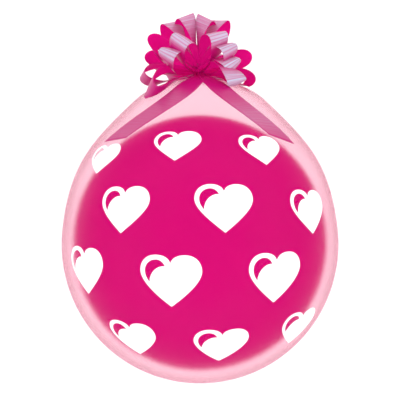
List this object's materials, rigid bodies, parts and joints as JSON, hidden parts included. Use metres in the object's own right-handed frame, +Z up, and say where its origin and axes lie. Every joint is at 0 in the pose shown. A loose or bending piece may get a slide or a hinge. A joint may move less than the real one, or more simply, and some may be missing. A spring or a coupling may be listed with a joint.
{
  "type": "clear bubble balloon",
  "caption": "Clear stuffed party balloon with white printed hearts, a coloured balloon sealed inside and a satin pull bow round its tied neck, lying on its side.",
  "frame": {"origin": "centre of the small flat spot that the lying balloon rests on", "axes": "+Z up, +Y along the balloon's axis towards its neck and bow, +X across"},
  "size_m": [0.457, 0.6146, 0.4525],
  "materials": {
    "clear_latex": "clear glossy latex film, faintly pink at its edge",
    "satin_ribbon": "magenta satin pull-bow ribbon with a soft lengthwise sheen",
    "inner_latex": "opaque magenta latex, slightly satin",
    "print_ink": "opaque white screen print"
  },
  "bodies": {
    "root": {"balloon": "clear_latex", "pull_bow": "satin_ribbon"}
  },
  "joints": []
}
